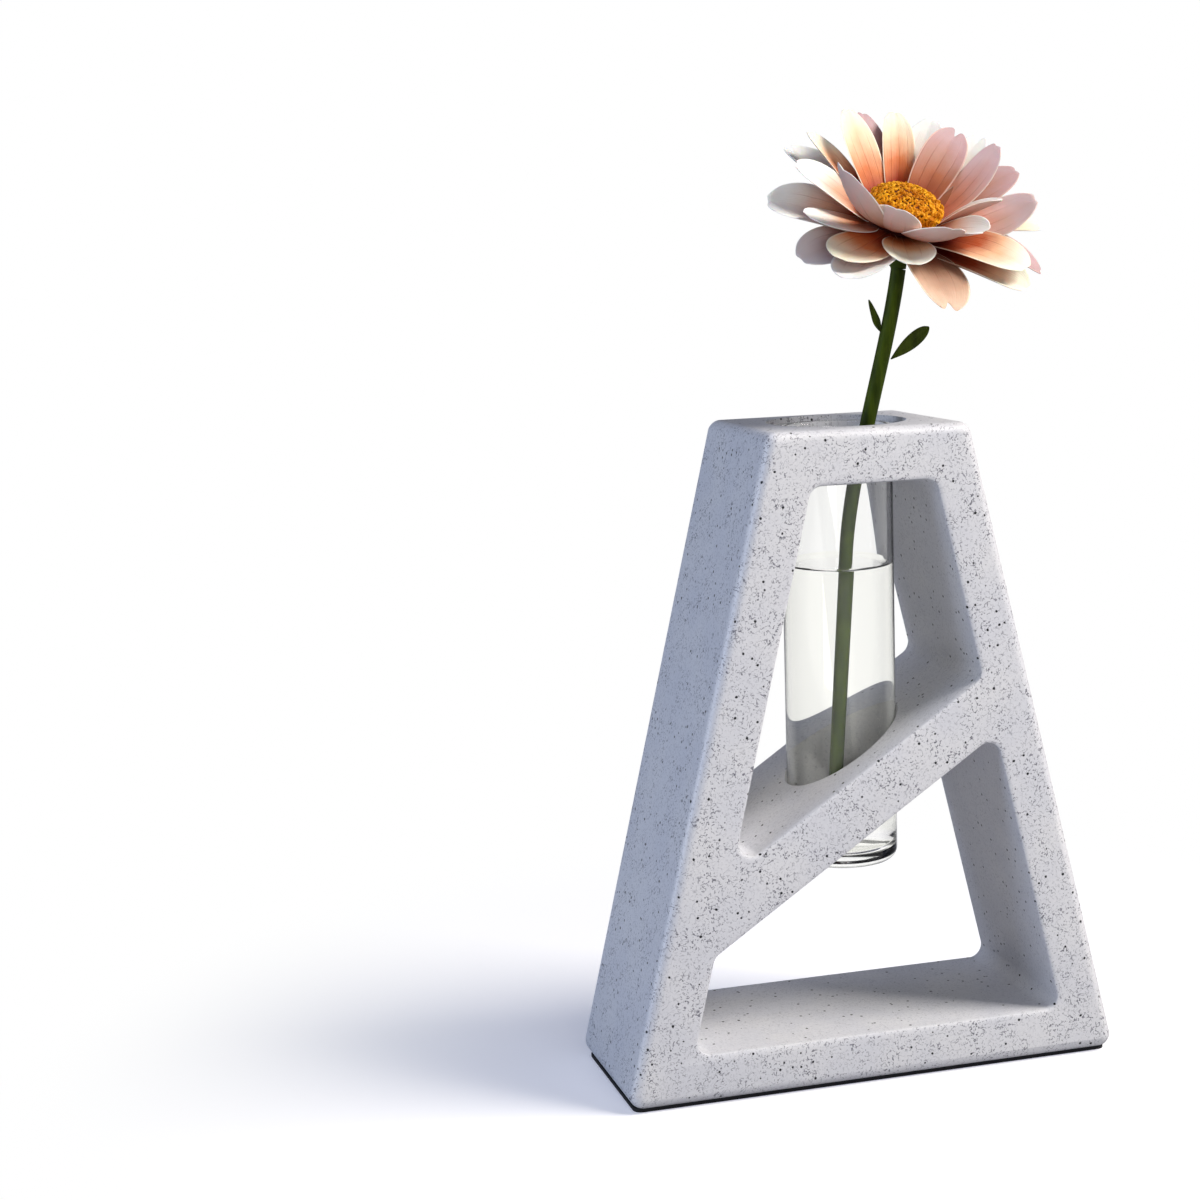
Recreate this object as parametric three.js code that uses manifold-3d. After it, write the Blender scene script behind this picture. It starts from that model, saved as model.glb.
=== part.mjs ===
// A test tube vase: an A-shaped cast block with two windows holds one glass
// test tube upright, and a single flower stands in its water.
// Millimetres, +Z up. The origin is the middle of the underside, X runs along
// the front of the block and +Y points to its back.
import * as THREE from "three";
import { mergeVertices } from "three/addons/utils/BufferGeometryUtils.js";
import Module from "manifold-3d";

const wasm = await Module();
wasm.setup();

// The cast block
const FRAME_HEIGHT = 150;
const FRAME_DEPTH = 42.4;
const BASE_WIDTH = 119.4;
const TOP_WIDTH = 47.5;
const LEFT_LEG = 12.6;
const RIGHT_LEG = 11.2;
const TOP_BAR = 12.3;
const BASE_BAR = 12;
const CROSS_BAR = 13.3;
const CROSS_BAR_SLOPE = 33.2;
const CROSS_BAR_TOP_AT_AXIS = 75.2;
const OUTER_EDGE_RADIUS = 2.5;
const OUTER_CORNER_RADIUS = 3;
const WINDOW_EDGE_RADIUS = 1.1;
const WINDOW_CORNER_RADIUS = 3;

// The thin sheet glued under it
const SHEET_THICKNESS = 0.8;
const SHEET_INSET = 1.8;
const SHEET_CORNER_RADIUS = 2;

// The test tube
const TUBE_DIAMETER = 25.4;
const TUBE_WALL = 1.2;
const TUBE_LENGTH = 101;
const TUBE_BASE_THICKNESS = 3;
const TUBE_CORNER_RADIUS = 2.6;
const LIP_DIAMETER = 30.2;
const LIP_THICKNESS = 2.4;
const LIP_BELOW_TOP = 1;
const LIP_SEAT_GAP = 0.3;
const BORE_CLEARANCE = 0.5;
const LIP_CLEARANCE = 0.8;

// The water
const WATER_DEPTH = 65.8;
const WATER_GAP = 0.3;

// The stem stands straight in the water, passes the rim and leans outwards.
const STEM_DIAMETER = 3.4;
const STEM_FOOT_DIAMETER = 2.8;
const STEM_FOOT_X = -1.7;
const STEM_FOOT_ABOVE_FLOOR = 9;
const STEM_FOOT_LEAN = 3.6;
const STEM_STRAIGHT_PAST_WATER = 1.7;
const STEM_RIM_GAP = 2.1;
const STEM_RIM_LEAN = 14;
const STEM_TOP_OUT = 8;
const STEM_TOP_RISE = 34.4;
const STEM_TOP_LEAN = 9;

// The leaves, by the height of their root above the rim and their reach
const LEFT_LEAF_HEIGHT = 20.5;
const LEFT_LEAF_OUT = 1.9;
const LEFT_LEAF_RISE = 7.4;
const LEFT_LEAF_WIDTH = 2;
const RIGHT_LEAF_HEIGHT = 14.2;
const RIGHT_LEAF_OUT = 9.4;
const RIGHT_LEAF_RISE = 6.6;
const RIGHT_LEAF_WIDTH = 3.6;
const LEAF_THICKNESS = 0.8;
const LEAF_ROOT_GAP = 0.55;

// The flower head, by the middle of its disc from the stem's top and the way
// that the head faces
const HEAD_OUT = 1;
const HEAD_FORWARD = 2.6;
const HEAD_RISE = 14;
const HEAD_LEAN = 25;
const HEAD_HEADING = -62;
const DISC_RADIUS = 8.2;
const DISC_RIM = 1.2;
const DISC_CROWN = 4.8;
const RECEPTACLE_RADIUS = 7.9;
const RECEPTACLE_DEPTH = 9;
const RECEPTACLE_FOOT_RADIUS = 3.9;
const PART_GAP = 0.3;

// The petals
const PETAL_THICKNESS = 0.5;
const PETAL_ROOT_GAP = 0.65;
const PETAL_ROOT_WIDTH = 0.2;
const PETAL_WIDEST_AT = 0.6;
const INNER_RING_DEPTH = 3.5;
const MIDDLE_RING_DEPTH = 5.3;
const OUTER_RING_DEPTH = 7.2;

const rad = THREE.MathUtils.degToRad;

function paint(color, roughness, metalness = 0) {
  return new THREE.MeshStandardMaterial({ color, roughness, metalness });
}

function named(name, geometry, material) {
  const mesh = new THREE.Mesh(geometry, material);
  mesh.name = name;
  return mesh;
}

function weld(geometry) {
  geometry.deleteAttribute("normal");
  geometry.deleteAttribute("uv");
  return mergeVertices(geometry, 1e-5);
}

function solid(geometry) {
  const closed = weld(geometry);
  return new wasm.Manifold(
    new wasm.Mesh({
      numProp: 3,
      vertProperties: new Float32Array(closed.attributes.position.array),
      triVerts: new Uint32Array(closed.index.array),
    }),
  );
}

function geometryOf(body) {
  const mesh = body.getMesh();
  const geometry = new THREE.BufferGeometry();
  geometry.setAttribute("position", new THREE.BufferAttribute(mesh.vertProperties, 3));
  geometry.setIndex(new THREE.BufferAttribute(mesh.triVerts, 1));
  return geometry;
}

// A closed outline through the corners, each rounded to the radius.
function roundedOutline(corners, radius) {
  const outline = new THREE.Path();
  const count = corners.length;
  for (let i = 0; i < count; i += 1) {
    const corner = corners[i];
    const toLast = corners[(i + count - 1) % count].clone().sub(corner).normalize();
    const toNext = corners[(i + 1) % count].clone().sub(corner).normalize();
    const half = Math.acos(toLast.dot(toNext)) / 2;
    const middle = toLast.clone().add(toNext).normalize();
    const centre = corner.clone().addScaledVector(middle, radius / Math.sin(half));
    const from = corner.clone().addScaledVector(toLast, radius / Math.tan(half)).sub(centre);
    const to = corner.clone().addScaledVector(toNext, radius / Math.tan(half)).sub(centre);
    const start = Math.atan2(from.y, from.x);
    const end = Math.atan2(to.y, to.x);
    outline.absarc(centre.x, centre.y, radius, start, end, false);
  }
  outline.closePath();
  return outline;
}

function roundedPlate(outline, windows, depth, edgeRadius, edgeSteps) {
  const shape = new THREE.Shape(outline.getPoints(4));
  shape.holes = windows.map((hole) => new THREE.Path(hole.getPoints(4)));
  const geometry = new THREE.ExtrudeGeometry(shape, {
    depth: depth - 2 * edgeRadius,
    bevelThickness: edgeRadius,
    bevelSize: edgeRadius,
    bevelOffset: -edgeRadius,
    bevelSegments: edgeSteps,
  });
  geometry.translate(0, 0, edgeRadius - depth / 2);
  geometry.rotateX(Math.PI / 2);
  return geometry;
}

function uprightCylinder(radius, bottom, top, sides) {
  const geometry = new THREE.CylinderGeometry(radius, radius, top - bottom, sides);
  geometry.rotateX(Math.PI / 2);
  geometry.translate(0, 0, (bottom + top) / 2);
  return geometry;
}

function turned(profile, sides) {
  const points = profile.map(([r, z]) => new THREE.Vector2(r, z));
  const geometry = new THREE.LatheGeometry(points, sides);
  geometry.rotateX(Math.PI / 2);
  return weld(geometry);
}

// A round rod that follows a curve, with its radius given along the way.
function roundRod(curve, radiusAt, sides, steps) {
  const geometry = weld(new THREE.CylinderGeometry(1, 1, 1, sides, steps));
  const position = geometry.attributes.position;
  for (let i = 0; i < position.count; i += 1) {
    const t = position.getY(i) + 0.5;
    const tangent = curve.getTangentAt(t);
    const side = new THREE.Vector3(0, 1, 0).cross(tangent).normalize();
    const front = tangent.clone().cross(side);
    const point = curve.getPointAt(t);
    point.addScaledVector(side, position.getX(i) * radiusAt(t));
    point.addScaledVector(front, -position.getZ(i) * radiusAt(t));
    position.setXYZ(i, point.x, point.y, point.z);
  }
  return geometry;
}

// The cast block. Each side line is given by its x at a height.
const sideSlope = (BASE_WIDTH - TOP_WIDTH) / 2 / FRAME_HEIGHT;
const sideStretch = Math.hypot(1, sideSlope);
const crossSlope = Math.tan(rad(CROSS_BAR_SLOPE));
const crossUnderAtAxis = CROSS_BAR_TOP_AT_AXIS - CROSS_BAR / Math.cos(rad(CROSS_BAR_SLOPE));

function leftWindowSide(z) {
  return -BASE_WIDTH / 2 + sideSlope * z + LEFT_LEG * sideStretch;
}

function rightWindowSide(z) {
  return BASE_WIDTH / 2 - sideSlope * z - RIGHT_LEG * sideStretch;
}

// Where the cross bar's line, at a height on the axis, meets a window's side.
function crossCorner(heightAtAxis, side) {
  const run = side(1) - side(0);
  const z = (heightAtAxis + crossSlope * side(0)) / (1 - crossSlope * run);
  return new THREE.Vector2(side(z), z);
}

const frameCorners = [
  new THREE.Vector2(-BASE_WIDTH / 2, SHEET_THICKNESS),
  new THREE.Vector2(BASE_WIDTH / 2, SHEET_THICKNESS),
  new THREE.Vector2(TOP_WIDTH / 2, FRAME_HEIGHT),
  new THREE.Vector2(-TOP_WIDTH / 2, FRAME_HEIGHT),
];
const upperWindowTop = FRAME_HEIGHT - TOP_BAR;
const upperWindow = [
  crossCorner(CROSS_BAR_TOP_AT_AXIS, leftWindowSide),
  crossCorner(CROSS_BAR_TOP_AT_AXIS, rightWindowSide),
  new THREE.Vector2(rightWindowSide(upperWindowTop), upperWindowTop),
  new THREE.Vector2(leftWindowSide(upperWindowTop), upperWindowTop),
];
const lowerWindow = [
  new THREE.Vector2(leftWindowSide(BASE_BAR), BASE_BAR),
  new THREE.Vector2(rightWindowSide(BASE_BAR), BASE_BAR),
  crossCorner(crossUnderAtAxis, rightWindowSide),
  crossCorner(crossUnderAtAxis, leftWindowSide),
];
const frameOutline = roundedOutline(frameCorners, OUTER_CORNER_RADIUS);
const windows = [
  roundedOutline(upperWindow, WINDOW_CORNER_RADIUS),
  roundedOutline(lowerWindow, WINDOW_CORNER_RADIUS),
];
const tubeRadius = TUBE_DIAMETER / 2;
const lipRadius = LIP_DIAMETER / 2;
const boreRadius = tubeRadius + BORE_CLEARANCE;
const seatHeight = FRAME_HEIGHT - LIP_BELOW_TOP - LIP_THICKNESS - LIP_SEAT_GAP;
const roundedBlock = solid(roundedPlate(frameOutline, [], FRAME_DEPTH, OUTER_EDGE_RADIUS, 3));
const windowedBlock = solid(roundedPlate(frameOutline, windows, FRAME_DEPTH, WINDOW_EDGE_RADIUS, 2));
const tubeBore = solid(uprightCylinder(boreRadius, BASE_BAR + 1, FRAME_HEIGHT + 1, 40));
const lipBore = solid(uprightCylinder(lipRadius + LIP_CLEARANCE, seatHeight, FRAME_HEIGHT + 1, 40));
const frameBody = roundedBlock.intersect(windowedBlock).subtract(tubeBore).subtract(lipBore);
const frame = named("cast_frame", geometryOf(frameBody), paint(0xc9ccd6, 0.55));

// The sheet under the block
const sheetX = BASE_WIDTH / 2 - SHEET_INSET;
const sheetY = FRAME_DEPTH / 2 - SHEET_INSET;
const sheetCorners = [
  new THREE.Vector2(-sheetX, -sheetY),
  new THREE.Vector2(sheetX, -sheetY),
  new THREE.Vector2(sheetX, sheetY),
  new THREE.Vector2(-sheetX, sheetY),
];
const sheetOutline = new THREE.Shape(roundedOutline(sheetCorners, SHEET_CORNER_RADIUS).getPoints(3));
const sheetGeometry = new THREE.ExtrudeGeometry(sheetOutline, { depth: SHEET_THICKNESS, bevelEnabled: false });
const baseSheet = named("base_sheet", weld(sheetGeometry), paint(0x16171a, 0.8));

// The test tube hangs by its lip: flat outside, with a thick rounded base.
const tubeTop = FRAME_HEIGHT - LIP_BELOW_TOP;
const tubeBottom = tubeTop - TUBE_LENGTH;
const tubeInside = tubeRadius - TUBE_WALL;
const tubeFloor = tubeBottom + TUBE_BASE_THICKNESS;

function quarterArc(r, z, radius, from, to, steps) {
  const points = [];
  for (let i = 0; i <= steps; i += 1) {
    const angle = rad(from + ((to - from) * i) / steps);
    points.push([r + radius * Math.cos(angle), z + radius * Math.sin(angle)]);
  }
  return points;
}

const lipUnderside = tubeTop - LIP_THICKNESS;
const lipRound = LIP_THICKNESS / 3;
const tubeProfile = [
  [0, tubeBottom],
  ...quarterArc(tubeRadius - TUBE_CORNER_RADIUS, tubeBottom + TUBE_CORNER_RADIUS, TUBE_CORNER_RADIUS, -90, 0, 3),
  [tubeRadius, lipUnderside],
  ...quarterArc(lipRadius - lipRound, lipUnderside + lipRound, lipRound, -90, 0, 2),
  ...quarterArc(lipRadius - lipRound, tubeTop - lipRound, lipRound, 0, 90, 2),
  ...quarterArc(tubeInside + lipRound, tubeTop - lipRound, lipRound, 90, 180, 2),
  ...quarterArc(tubeInside - TUBE_CORNER_RADIUS, tubeFloor + TUBE_CORNER_RADIUS, TUBE_CORNER_RADIUS, 0, -90, 3),
  [0, tubeFloor],
];
const tube = named("glass_tube", turned(tubeProfile, 40), paint(0xe8eef0, 0.05));

// The stem's straight foot, its bend to the rim and its free length above
const stemRadius = STEM_DIAMETER / 2;
const footRadius = STEM_FOOT_DIAMETER / 2;
const waterLevel = tubeFloor + WATER_DEPTH;

function leaning(degrees) {
  return new THREE.Vector3(Math.sin(rad(degrees)), 0, Math.cos(rad(degrees)));
}

function bendBetween(from, fromAxis, to, toAxis) {
  const handle = from.distanceTo(to) / 3;
  return new THREE.CubicBezierCurve3(
    from,
    from.clone().addScaledVector(fromAxis, handle),
    to.clone().addScaledVector(toAxis, -handle),
    to,
  );
}

const stemAxis = leaning(STEM_FOOT_LEAN);
const rimAxis = leaning(STEM_RIM_LEAN);
const stemTopAxis = leaning(STEM_TOP_LEAN);
const stemFoot = new THREE.Vector3(STEM_FOOT_X, 0, tubeFloor + STEM_FOOT_ABOVE_FLOOR);
const straightRise = waterLevel + STEM_STRAIGHT_PAST_WATER - stemFoot.z;
const bendFrom = stemFoot.clone().addScaledVector(stemAxis, straightRise / stemAxis.z);
const atRim = new THREE.Vector3(tubeInside - stemRadius - STEM_RIM_GAP, 0, tubeTop);
const stemTop = new THREE.Vector3(atRim.x + STEM_TOP_OUT, 0, tubeTop + STEM_TOP_RISE);
const stemCurve = new THREE.CurvePath();
stemCurve.add(new THREE.LineCurve3(stemFoot, bendFrom));
stemCurve.add(bendBetween(bendFrom, stemAxis, atRim, rimAxis));
stemCurve.add(bendBetween(atRim, rimAxis, stemTop, stemTopAxis));

function stemRadiusAt(t) {
  return footRadius + (stemRadius - footRadius) * Math.min(1, t * 2);
}

const stem = named("flower_stem", roundRod(stemCurve, stemRadiusAt, 10, 26), paint(0x3f5a16, 0.5));

// The water fills the tube round the stem.
const waterRadius = tubeInside - WATER_GAP;
const waterFloor = tubeFloor + WATER_GAP;
const waterProfile = [
  [0, waterFloor],
  ...quarterArc(waterRadius - TUBE_CORNER_RADIUS, waterFloor + TUBE_CORNER_RADIUS, TUBE_CORNER_RADIUS, -90, 0, 3),
  [waterRadius, waterLevel],
  [0, waterLevel],
];
const channelSides = 10;
const channelRadius = (stemRadius + WATER_GAP) / Math.cos(Math.PI / channelSides);
const channelCurve = new THREE.LineCurve3(
  stemFoot.clone().addScaledVector(stemAxis, -WATER_GAP),
  bendFrom,
);
const channel = solid(roundRod(channelCurve, () => channelRadius, channelSides, 1));
const waterBody = solid(turned(waterProfile, 32)).subtract(channel);
const water = named("water", geometryOf(waterBody), paint(0xdfe9ea, 0.05));

// A leaf is a flattened bud shape, widest at a share of its length.
function leaf(name, root, reach, width, widestAt) {
  const geometry = weld(new THREE.SphereGeometry(1, 8, 8));
  const position = geometry.attributes.position;
  const length = reach.length();
  const along = reach.clone().normalize();
  const across = new THREE.Vector3(0, 1, 0).cross(along).normalize();
  const facing = along.clone().cross(across);
  for (let i = 0; i < position.count; i += 1) {
    const share = (position.getY(i) + 1) / 2;
    const t = Math.max(share, 0) ** (Math.log(widestAt) / Math.log(0.5));
    const point = root.clone().addScaledVector(along, t * length);
    point.addScaledVector(across, (-position.getX(i) * width) / 2);
    point.addScaledVector(facing, (position.getZ(i) * LEAF_THICKNESS) / 2);
    position.setXYZ(i, point.x, point.y, point.z);
  }
  return named(name, geometry, paint(0x4a6a1e, 0.5));
}

// The point beside the stem, at a height over the rim, where a leaf starts
function leafRoot(heightOverRim, side) {
  const height = tubeTop + heightOverRim;
  let low = 0;
  let high = 1;
  for (let i = 0; i < 30; i += 1) {
    const middle = (low + high) / 2;
    if (stemCurve.getPointAt(middle).z < height) low = middle;
    else high = middle;
  }
  const point = stemCurve.getPointAt(low);
  return point.add(new THREE.Vector3(side * (stemRadius + LEAF_ROOT_GAP), 0, 0));
}

const leftReach = new THREE.Vector3(-LEFT_LEAF_OUT, 0, LEFT_LEAF_RISE);
const leftLeaf = leaf("leaf_left", leafRoot(LEFT_LEAF_HEIGHT, -1), leftReach, LEFT_LEAF_WIDTH, 0.4);
const rightReach = new THREE.Vector3(RIGHT_LEAF_OUT, 0, RIGHT_LEAF_RISE);
const rightLeaf = leaf("leaf_right", leafRoot(RIGHT_LEAF_HEIGHT, 1), rightReach, RIGHT_LEAF_WIDTH, 0.62);

// The head's own axes: its disc faces along local Z.
const head = new THREE.Group();
const heading = rad(HEAD_HEADING);
const leanAbout = new THREE.Vector3(-Math.sin(heading), Math.cos(heading), 0);
head.quaternion.setFromAxisAngle(leanAbout, rad(HEAD_LEAN));
head.position.set(stemTop.x + HEAD_OUT, -HEAD_FORWARD, stemTop.z + HEAD_RISE);
const headAxis = new THREE.Vector3(0, 0, 1).applyQuaternion(head.quaternion);

// The calyx widens from the stem into the seat of the petals and the disc.
const calyxFoot = stemTop.clone().addScaledVector(stemTopAxis, PART_GAP);
const seatTop = head.position.clone().addScaledVector(headAxis, -PART_GAP);
const seatFoot = seatTop.clone().addScaledVector(headAxis, PART_GAP - RECEPTACLE_DEPTH);
const neckCurve = new THREE.CubicBezierCurve3(
  calyxFoot,
  calyxFoot.clone().addScaledVector(stemTopAxis, 2),
  seatFoot.clone().addScaledVector(headAxis, -2),
  seatFoot,
);
const calyxCurve = new THREE.CurvePath();
calyxCurve.add(neckCurve);
calyxCurve.add(new THREE.LineCurve3(seatFoot, seatTop));
const neckShare = neckCurve.getLength() / calyxCurve.getLength();

function seatRadius(depth) {
  return RECEPTACLE_RADIUS + ((RECEPTACLE_FOOT_RADIUS - RECEPTACLE_RADIUS) * depth) / RECEPTACLE_DEPTH;
}

function calyxRadiusAt(t) {
  if (t < neckShare) return stemRadius + (RECEPTACLE_FOOT_RADIUS - stemRadius) * (t / neckShare) ** 2;
  return seatRadius((RECEPTACLE_DEPTH * (1 - t)) / (1 - neckShare));
}

const calyx = named("calyx", roundRod(calyxCurve, calyxRadiusAt, 20, 10), paint(0x45611b, 0.55));

// The disc of florets is a low dome.
const discProfile = [[0, 0], [DISC_RADIUS - 0.4, 0], [DISC_RADIUS, DISC_RIM]];
for (let i = 1; i < 5; i += 1) {
  const angle = rad((90 * i) / 5);
  discProfile.push([
    DISC_RADIUS * Math.cos(angle),
    DISC_RIM + (DISC_CROWN - DISC_RIM) * Math.sin(angle),
  ]);
}
discProfile.push([0, DISC_CROWN]);
const disc = named("flower_disc", turned(discProfile, 24), paint(0xd29a1e, 0.7));
head.add(disc);

// A petal is a thin blade, narrow at its root and round at its notched tip.
// lift is its mean climb from the head's plane, curl how far it bends inwards
// along its length, cup how far its edges turn up and roll how far it lies on
// one side, so that each petal can lap over the next.
function petalWidthShare(u) {
  if (u < PETAL_WIDEST_AT) {
    const rise = Math.sin(((Math.PI / 2) * u) / PETAL_WIDEST_AT) ** 0.6;
    return PETAL_ROOT_WIDTH + (1 - PETAL_ROOT_WIDTH) * rise;
  }
  const past = (u - PETAL_WIDEST_AT) / (1 - PETAL_WIDEST_AT);
  return Math.sqrt(1 - (0.965 * past) ** 2);
}

function petal(name, depth, turn, lift, length, width, curl, cup, roll, color) {
  const geometry = weld(new THREE.BoxGeometry(1, 1, 1, 4, 7, 1));
  const position = geometry.attributes.position;
  const bend = rad(curl || 1);
  const first = rad(lift) - bend / 2;
  const fold = rad(cup);
  for (let i = 0; i < position.count; i += 1) {
    const across = 2 * position.getX(i);
    const share = position.getY(i) + 0.5;
    const notch = 0.05 * Math.exp(-((across / 0.3) ** 2)) * share ** 6;
    const u = share * (1 - notch);
    const climb = first + bend * u;
    const half = (width / 2) * petalWidthShare(share);
    const aside = (-half * Math.sin(fold * across)) / fold;
    const rise = (half * (1 - Math.cos(fold * across))) / fold + position.getZ(i) * PETAL_THICKNESS;
    const over = rise * Math.cos(rad(roll)) + aside * Math.sin(rad(roll));
    const out = (length / bend) * (Math.sin(climb) - Math.sin(first)) - over * Math.sin(climb);
    const up = (-length / bend) * (Math.cos(climb) - Math.cos(first)) + over * Math.cos(climb);
    position.setXYZ(i, out, aside * Math.cos(rad(roll)) - rise * Math.sin(rad(roll)), up);
  }
  geometry.translate(seatRadius(depth) + PETAL_ROOT_GAP, 0, -depth);
  const blade = named(name, geometry, paint(color, 0.6));
  blade.rotation.z = rad(turn);
  return blade;
}

// Each row: turn about the head, lift, length, width, curl, cup, roll.
const innerPetals = [
  [18, 55, 24.5, 9, 35, 13, 4],
  [50, 49, 25.1, 10.9, -27, 22, 0],
  [82, 33, 28.5, 7.9, -22, 22, 1],
  [115, 41, 25.4, 9.1, 2, 10, -4],
  [214, 23, 30, 13.6, 50, 47, -24],
  [240, 33, 20.6, 12.7, 41, 38, -4],
  [268, 26, 21.1, 12.7, 43, 27, 20],
  [298, 20, 17.4, 12.2, 44, 45, 20],
  [341, 46, 17.1, 10.5, 9, 32, 0],
];
const middlePetals = [
  [14, 37, 26.9, 8.3, -1, 18, -1],
  [41, 36, 30.5, 8.2, 12, 10, 13],
  [68, 29, 31.2, 9.3, 23, 8, -4],
  [97, 32, 29.5, 9, -9, 20, 2],
  [130, 28, 25.5, 9.4, 4, 26, 7],
  [166, 20, 22, 11.9, 9, 29, 4],
  [194, 4, 20.1, 10.1, 8, 14, 11],
  [226, -3, 25.1, 13.3, 25, 10, 2],
  [258, 3, 20.8, 11.5, -5, 31, -5],
  [307, 7, 26.7, 12.9, -24, 10, 16],
  [342, 34, 26.2, 10.9, 46, 8, 12],
];
const outerPetals = [
  [11, 14, 31.7, 10.5, -3, 47, 1],
  [129, 12, 29, 14.4, 10, 30, -15],
  [166, 4, 25.4, 13.5, -9, 27, -14],
  [204, -19, 23, 11.4, -5, 12, 15],
  [235, -7, 28.8, 14.3, 16, 18, 24],
  [273, -12, 28.1, 14.9, -27, 8, 18],
  [309, -1, 28.7, 13.1, 5, 28, 13],
  [340, -6, 29.2, 11.2, -1, 12, 11],
];
const rings = [
  ["inner", INNER_RING_DEPTH, innerPetals, 0xe2b4a0],
  ["middle", MIDDLE_RING_DEPTH, middlePetals, 0xd9aa9c],
  ["outer", OUTER_RING_DEPTH, outerPetals, 0xcfa59c],
];
for (const [ring, depth, rows, color] of rings) {
  rows.forEach((row, i) => head.add(petal(`petal_${ring}_${i + 1}`, depth, ...row, color)));
}

const vase = new THREE.Group();
vase.add(frame, baseSheet, tube, water, stem, leftLeaf, rightLeaf, calyx, head);

export default vase;
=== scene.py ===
import math

import bmesh
import bpy
from mathutils import Matrix, Quaternion, Vector


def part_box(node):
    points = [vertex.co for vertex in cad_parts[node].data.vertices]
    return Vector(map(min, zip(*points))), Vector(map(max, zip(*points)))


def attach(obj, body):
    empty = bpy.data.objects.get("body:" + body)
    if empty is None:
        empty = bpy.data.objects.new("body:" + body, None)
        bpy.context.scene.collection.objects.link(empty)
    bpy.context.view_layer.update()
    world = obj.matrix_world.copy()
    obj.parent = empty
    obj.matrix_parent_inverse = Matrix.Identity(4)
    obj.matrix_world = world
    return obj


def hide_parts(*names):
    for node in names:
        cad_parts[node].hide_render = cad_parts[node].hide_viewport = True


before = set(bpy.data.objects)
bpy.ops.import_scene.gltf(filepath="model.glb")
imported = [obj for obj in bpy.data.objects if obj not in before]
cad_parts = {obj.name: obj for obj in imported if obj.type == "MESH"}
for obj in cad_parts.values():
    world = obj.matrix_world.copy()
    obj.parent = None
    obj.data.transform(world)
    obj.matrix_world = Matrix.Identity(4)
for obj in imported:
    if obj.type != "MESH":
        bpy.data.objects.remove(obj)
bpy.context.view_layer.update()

# The camera stands to the left of the vase and a little above it, close enough
# that the block's sides lean together. The picture is 1200 by 1200.
PICTURE_WIDTH = 1200
FOCAL_LENGTH_IN_PIXELS = 2225.65
CAMERA_PLACE = Vector((-0.18486, -0.47271, 0.19303))
CAMERA_TURNED_RIGHT = math.radians(15.1594)
CAMERA_TILTED_DOWN = math.radians(9.2800)
CAMERA_ROLLED = math.radians(-1.9196)

bpy.ops.object.camera_add(location=CAMERA_PLACE)
camera = bpy.context.object
camera.name = "camera"
camera.data.sensor_width = 36
camera.data.lens = camera.data.sensor_width * FOCAL_LENGTH_IN_PIXELS / PICTURE_WIDTH
camera.data.clip_start = 0.01
ahead = Vector(
    (
        math.sin(CAMERA_TURNED_RIGHT) * math.cos(CAMERA_TILTED_DOWN),
        math.cos(CAMERA_TURNED_RIGHT) * math.cos(CAMERA_TILTED_DOWN),
        -math.sin(CAMERA_TILTED_DOWN),
    )
)
level_right = Vector((math.cos(CAMERA_TURNED_RIGHT), -math.sin(CAMERA_TURNED_RIGHT), 0))
level_up = level_right.cross(ahead)
right = level_right * math.cos(CAMERA_ROLLED) + level_up * math.sin(CAMERA_ROLLED)
up = level_up * math.cos(CAMERA_ROLLED) - level_right * math.sin(CAMERA_ROLLED)
camera.rotation_euler = Matrix((right, up, -ahead)).transposed().to_euler()
bpy.context.scene.camera = camera
bpy.context.scene.view_settings.view_transform = "Standard"


# The floor is a wide sheet of white paper. Near the vase it takes its shadow,
# and further off it is as white as the backdrop.
FLOOR_SIZE = 8
PAPER_NEAR_RADIUS = 0.06
PAPER_FAR_RADIUS = 0.2
SEEN_IN_GLOSS = 0.25


class Signal:
    """One value of a finish, so that sums of values are written as sums."""

    def __init__(self, finish, socket):
        self.finish = finish
        self.socket = socket

    def maths(self, operation, *terms):
        return self.finish.add("ShaderNodeMath", {"operation": operation}, dict(enumerate(terms)))

    def __add__(self, other):
        return self.maths("ADD", self, other)

    def __radd__(self, other):
        return self.maths("ADD", other, self)

    def __sub__(self, other):
        return self.maths("SUBTRACT", self, other)

    def __rsub__(self, other):
        return self.maths("SUBTRACT", other, self)

    def __mul__(self, other):
        return self.maths("MULTIPLY", self, other)

    def __rmul__(self, other):
        return self.maths("MULTIPLY", other, self)

    def __abs__(self):
        return self.maths("ABSOLUTE", self)

    def __lt__(self, other):
        return self.maths("LESS_THAN", self, other)

    def between(self, low, high):
        """0 below low and 1 above high, with a smooth way between them."""
        spans = {"Value": self, "From Min": low, "From Max": high}
        return self.finish.add("ShaderNodeMapRange", {"interpolation_type": "SMOOTHSTEP"}, spans)


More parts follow.
